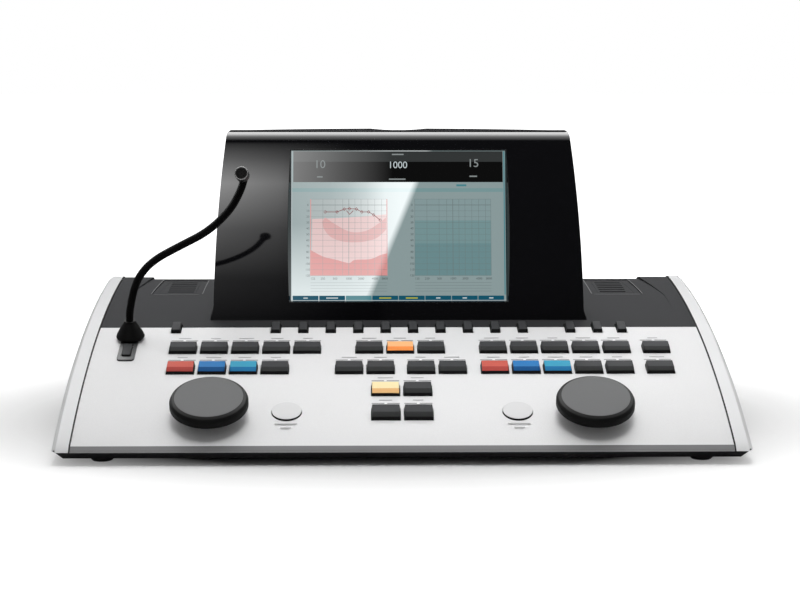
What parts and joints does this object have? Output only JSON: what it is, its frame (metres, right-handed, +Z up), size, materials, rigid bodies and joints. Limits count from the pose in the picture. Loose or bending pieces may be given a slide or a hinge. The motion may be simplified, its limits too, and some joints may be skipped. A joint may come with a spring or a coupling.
{
  "type": "audiometer",
  "caption": "Wedge-shaped desktop audiometer with a sloping key panel, two large dials, a gooseneck talk microphone and a screen lid that folds back flush into the deck.",
  "frame": {"origin": "centre of the footprint on the desk, under the rubber feet", "axes": "+X to the operator's right along the console's width, +Y from the front lip to the rear wall, +Z up"},
  "size_m": [0.522, 0.366, 0.2345],
  "materials": {
    "tray_black": "satin black powder coat",
    "foot_rubber": "matte",
    "panel_silver": "pale silver paint with a fine grain, satin",
    "deck_grey": "fine spark texture, dark grey",
    "cheek_pale": "pale grey, satin",
    "rear_plate": "satin",
    "socket_black": "semi-matte",
    "grille_grey": "matte",
    "hinge_metal": "brushed",
    "circuit_board": "solder mask green",
    "encoder_metal": "satin",
    "mic_plate_dark": "matte",
    "key_dark": "fine matte",
    "key_red": "fine matte",
    "key_blue": "fine matte",
    "key_cyan": "fine matte",
    "key_orange": "fine matte",
    "key_cream": "fine matte",
    "dial_grey": "soft-touch matte, darker rim",
    "tone_silver": "satin silver",
    "bezel_black": "gloss black",
    "cover_dark": "fine spark texture",
    "screen_glass": "glossy screen",
    "boot_rubber": "soft matte",
    "neck_black": "ribbed black sleeve",
    "mic_black": "satin black with a bright rim"
  },
  "bodies": {
    "console": {"base_tray": "tray_black", "feet": "foot_rubber", "front_panel": "panel_silver", "rear_deck": "deck_grey", "left_cheek": "cheek_pale", "right_cheek": "cheek_pale", "connector_panel": "rear_plate", "jack_sockets": "socket_black", "power_inlet": "socket_black", "speaker_grilles": "grille_grey", "hinge_brackets": "hinge_metal", "key_board": "circuit_board", "encoders": "encoder_metal", "mic_plate": "mic_plate_dark"},
    "display": {"display_bezel": "bezel_black", "display_cover": "cover_dark", "lcd_screen": "screen_glass"},
    "microphone": {"mic_boot": "boot_rubber", "gooseneck": "neck_black", "mic_head": "mic_black"},
    "dial_left": {"dial_left": "dial_grey"},
    "dial_right": {"dial_right": "dial_grey"},
    "key_r1_01": {"key_r1_01": "key_dark"},
    "key_r1_02": {"key_r1_02": "key_dark"},
    "key_r1_03": {"key_r1_03": "key_dark"},
    "key_r1_04": {"key_r1_04": "key_dark"},
    "key_r1_05": {"key_r1_05": "key_dark"},
    "key_r1_06": {"key_r1_06": "key_dark"},
    "key_r1_07": {"key_r1_07": "key_orange"},
    "key_r1_08": {"key_r1_08": "key_dark"},
    "key_r1_09": {"key_r1_09": "key_dark"},
    "key_r1_10": {"key_r1_10": "key_dark"},
    "key_r1_11": {"key_r1_11": "key_dark"},
    "key_r1_12": {"key_r1_12": "key_dark"},
    "key_r1_13": {"key_r1_13": "key_dark"},
    "key_r1_14": {"key_r1_14": "key_dark"},
    "key_r2_01": {"key_r2_01": "key_red"},
    "key_r2_02": {"key_r2_02": "key_blue"},
    "key_r2_03": {"key_r2_03": "key_cyan"},
    "key_r2_04": {"key_r2_04": "key_dark"},
    "key_r2_05": {"key_r2_05": "key_dark"},
    "key_r2_06": {"key_r2_06": "key_dark"},
    "key_r2_07": {"key_r2_07": "key_dark"},
    "key_r2_08": {"key_r2_08": "key_dark"},
    "key_r2_09": {"key_r2_09": "key_red"},
    "key_r2_10": {"key_r2_10": "key_blue"},
    "key_r2_11": {"key_r2_11": "key_cyan"},
    "key_r2_12": {"key_r2_12": "key_dark"},
    "key_r2_13": {"key_r2_13": "key_dark"},
    "key_r2_14": {"key_r2_14": "key_dark"},
    "key_r3_01": {"key_r3_01": "key_cream"},
    "key_r3_02": {"key_r3_02": "key_dark"},
    "key_r4_01": {"key_r4_01": "key_dark"},
    "key_r4_02": {"key_r4_02": "key_dark"},
    "fn_keys_left": {"fn_keys_left": "key_dark"},
    "fn_keys_centre": {"fn_keys_centre": "key_dark"},
    "fn_keys_right": {"fn_keys_right": "key_dark"},
    "tone_switch_left": {"tone_switch_left": "tone_silver"},
    "tone_switch_right": {"tone_switch_right": "tone_silver"},
    "talk_button": {"talk_button": "key_dark"}
  },
  "joints": [
    {"name": "display_fold", "type": "hinge", "parent": "console", "child": "display", "pos_m": [0, 0.0185, 0.073], "axis": [-1, 0, 0], "range_deg": [-5, 71]},
    {"name": "microphone_swivel", "type": "hinge", "parent": "console", "child": "microphone", "pos_m": [-0.2193, -0.0314, 0.06998], "axis": [0, -0.2471, 0.969], "range_deg": [-60, 45]},
    {"name": "dial_left_turn", "type": "hinge", "parent": "console", "child": "dial_left", "pos_m": [-0.146, -0.14669, 0.03048], "axis": [0, -0.399, 0.917], "continuous": true},
    {"name": "dial_right_turn", "type": "hinge", "parent": "console", "child": "dial_right", "pos_m": [0.146, -0.14669, 0.03048], "axis": [0, -0.399, 0.917], "continuous": true},
    {"name": "key_r1_01_press", "type": "slide", "parent": "console", "child": "key_r1_01", "axis": [0, 0.2725, -0.9621], "range_m": [0, 0.002], "stiffness_N_per_m": 400, "springref_m": -0.0015},
    {"name": "key_r1_02_press", "type": "slide", "parent": "console", "child": "key_r1_02", "axis": [0, 0.2725, -0.9621], "range_m": [0, 0.002], "stiffness_N_per_m": 400, "springref_m": -0.0015},
    {"name": "key_r1_03_press", "type": "slide", "parent": "console", "child": "key_r1_03", "axis": [0, 0.2725, -0.9621], "range_m": [0, 0.002], "stiffness_N_per_m": 400, "springref_m": -0.0015},
    {"name": "key_r1_04_press", "type": "slide", "parent": "console", "child": "key_r1_04", "axis": [0, 0.2725, -0.9621], "range_m": [0, 0.002], "stiffness_N_per_m": 400, "springref_m": -0.0015},
    {"name": "key_r1_05_press", "type": "slide", "parent": "console", "child": "key_r1_05", "axis": [0, 0.2725, -0.9621], "range_m": [0, 0.002], "stiffness_N_per_m": 400, "springref_m": -0.0015},
    {"name": "key_r1_06_press", "type": "slide", "parent": "console", "child": "key_r1_06", "axis": [0, 0.2725, -0.9621], "range_m": [0, 0.002], "stiffness_N_per_m": 400, "springref_m": -0.0015},
    {"name": "key_r1_07_press", "type": "slide", "parent": "console", "child": "key_r1_07", "axis": [0, 0.2725, -0.9621], "range_m": [0, 0.002], "stiffness_N_per_m": 400, "springref_m": -0.0015},
    {"name": "key_r1_08_press", "type": "slide", "parent": "console", "child": "key_r1_08", "axis": [0, 0.2725, -0.9621], "range_m": [0, 0.002], "stiffness_N_per_m": 400, "springref_m": -0.0015},
    {"name": "key_r1_09_press", "type": "slide", "parent": "console", "child": "key_r1_09", "axis": [0, 0.2725, -0.9621], "range_m": [0, 0.002], "stiffness_N_per_m": 400, "springref_m": -0.0015},
    {"name": "key_r1_10_press", "type": "slide", "parent": "console", "child": "key_r1_10", "axis": [0, 0.2725, -0.9621], "range_m": [0, 0.002], "stiffness_N_per_m": 400, "springref_m": -0.0015},
    {"name": "key_r1_11_press", "type": "slide", "parent": "console", "child": "key_r1_11", "axis": [0, 0.2725, -0.9621], "range_m": [0, 0.002], "stiffness_N_per_m": 400, "springref_m": -0.0015},
    {"name": "key_r1_12_press", "type": "slide", "parent": "console", "child": "key_r1_12", "axis": [0, 0.2725, -0.9621], "range_m": [0, 0.002], "stiffness_N_per_m": 400, "springref_m": -0.0015},
    {"name": "key_r1_13_press", "type": "slide", "parent": "console", "child": "key_r1_13", "axis": [0, 0.2725, -0.9621], "range_m": [0, 0.002], "stiffness_N_per_m": 400, "springref_m": -0.0015},
    {"name": "key_r1_14_press", "type": "slide", "parent": "console", "child": "key_r1_14", "axis": [0, 0.2725, -0.9621], "range_m": [0, 0.002], "stiffness_N_per_m": 400, "springref_m": -0.0015},
    {"name": "key_r2_01_press", "type": "slide", "parent": "console", "child": "key_r2_01", "axis": [0, 0.316, -0.9488], "range_m": [0, 0.002], "stiffness_N_per_m": 400, "springref_m": -0.0015},
    {"name": "key_r2_02_press", "type": "slide", "parent": "console", "child": "key_r2_02", "axis": [0, 0.316, -0.9488], "range_m": [0, 0.002], "stiffness_N_per_m": 400, "springref_m": -0.0015},
    {"name": "key_r2_03_press", "type": "slide", "parent": "console", "child": "key_r2_03", "axis": [0, 0.316, -0.9488], "range_m": [0, 0.002], "stiffness_N_per_m": 400, "springref_m": -0.0015},
    {"name": "key_r2_04_press", "type": "slide", "parent": "console", "child": "key_r2_04", "axis": [0, 0.316, -0.9488], "range_m": [0, 0.002], "stiffness_N_per_m": 400, "springref_m": -0.0015},
    {"name": "key_r2_05_press", "type": "slide", "parent": "console", "child": "key_r2_05", "axis": [0, 0.316, -0.9488], "range_m": [0, 0.002], "stiffness_N_per_m": 400, "springref_m": -0.0015},
    {"name": "key_r2_06_press", "type": "slide", "parent": "console", "child": "key_r2_06", "axis": [0, 0.316, -0.9488], "range_m": [0, 0.002], "stiffness_N_per_m": 400, "springref_m": -0.0015},
    {"name": "key_r2_07_press", "type": "slide", "parent": "console", "child": "key_r2_07", "axis": [0, 0.316, -0.9488], "range_m": [0, 0.002], "stiffness_N_per_m": 400, "springref_m": -0.0015},
    {"name": "key_r2_08_press", "type": "slide", "parent": "console", "child": "key_r2_08", "axis": [0, 0.316, -0.9488], "range_m": [0, 0.002], "stiffness_N_per_m": 400, "springref_m": -0.0015},
    {"name": "key_r2_09_press", "type": "slide", "parent": "console", "child": "key_r2_09", "axis": [0, 0.316, -0.9488], "range_m": [0, 0.002], "stiffness_N_per_m": 400, "springref_m": -0.0015},
    {"name": "key_r2_10_press", "type": "slide", "parent": "console", "child": "key_r2_10", "axis": [0, 0.316, -0.9488], "range_m": [0, 0.002], "stiffness_N_per_m": 400, "springref_m": -0.0015},
    {"name": "key_r2_11_press", "type": "slide", "parent": "console", "child": "key_r2_11", "axis": [0, 0.316, -0.9488], "range_m": [0, 0.002], "stiffness_N_per_m": 400, "springref_m": -0.0015},
    {"name": "key_r2_12_press", "type": "slide", "parent": "console", "child": "key_r2_12", "axis": [0, 0.316, -0.9488], "range_m": [0, 0.002], "stiffness_N_per_m": 400, "springref_m": -0.0015},
    {"name": "key_r2_13_press", "type": "slide", "parent": "console", "child": "key_r2_13", "axis": [0, 0.316, -0.9488], "range_m": [0, 0.002], "stiffness_N_per_m": 400, "springref_m": -0.0015},
    {"name": "key_r2_14_press", "type": "slide", "parent": "console", "child": "key_r2_14", "axis": [0, 0.316, -0.9488], "range_m": [0, 0.002], "stiffness_N_per_m": 400, "springref_m": -0.0015},
    {"name": "key_r3_01_press", "type": "slide", "parent": "console", "child": "key_r3_01", "axis": [0, 0.3569, -0.9341], "range_m": [0, 0.002], "stiffness_N_per_m": 400, "springref_m": -0.0015},
    {"name": "key_r3_02_press", "type": "slide", "parent": "console", "child": "key_r3_02", "axis": [0, 0.3569, -0.9341], "range_m": [0, 0.002], "stiffness_N_per_m": 400, "springref_m": -0.0015},
    {"name": "key_r4_01_press", "type": "slide", "parent": "console", "child": "key_r4_01", "axis": [0, 0.396, -0.9183], "range_m": [0, 0.002], "stiffness_N_per_m": 400, "springref_m": -0.0015},
    {"name": "key_r4_02_press", "type": "slide", "parent": "console", "child": "key_r4_02", "axis": [0, 0.396, -0.9183], "range_m": [0, 0.002], "stiffness_N_per_m": 400, "springref_m": -0.0015},
    {"name": "fn_keys_left_press", "type": "slide", "parent": "console", "child": "fn_keys_left", "axis": [0, 0.2189, -0.9757], "range_m": [0, 0.002], "stiffness_N_per_m": 400, "springref_m": -0.0015},
    {"name": "fn_keys_centre_press", "type": "slide", "parent": "console", "child": "fn_keys_centre", "axis": [0, 0.2189, -0.9757], "range_m": [0, 0.002], "stiffness_N_per_m": 1600, "springref_m": -0.0015},
    {"name": "fn_keys_right_press", "type": "slide", "parent": "console", "child": "fn_keys_right", "axis": [0, 0.2189, -0.9757], "range_m": [0, 0.002], "stiffness_N_per_m": 1200, "springref_m": -0.0015},
    {"name": "tone_switch_left_press", "type": "slide", "parent": "console", "child": "tone_switch_left", "axis": [0, 0.3917, -0.9201], "range_m": [0, 0.0015], "stiffness_N_per_m": 500, "springref_m": -0.0012},
    {"name": "tone_switch_right_press", "type": "slide", "parent": "console", "child": "tone_switch_right", "axis": [0, 0.3917, -0.9201], "range_m": [0, 0.0015], "stiffness_N_per_m": 500, "springref_m": -0.0012},
    {"name": "talk_button_press", "type": "slide", "parent": "console", "child": "talk_button", "axis": [0, 0.277, -0.9609], "range_m": [0, 0.0015], "stiffness_N_per_m": 400, "springref_m": -0.0012}
  ]
}
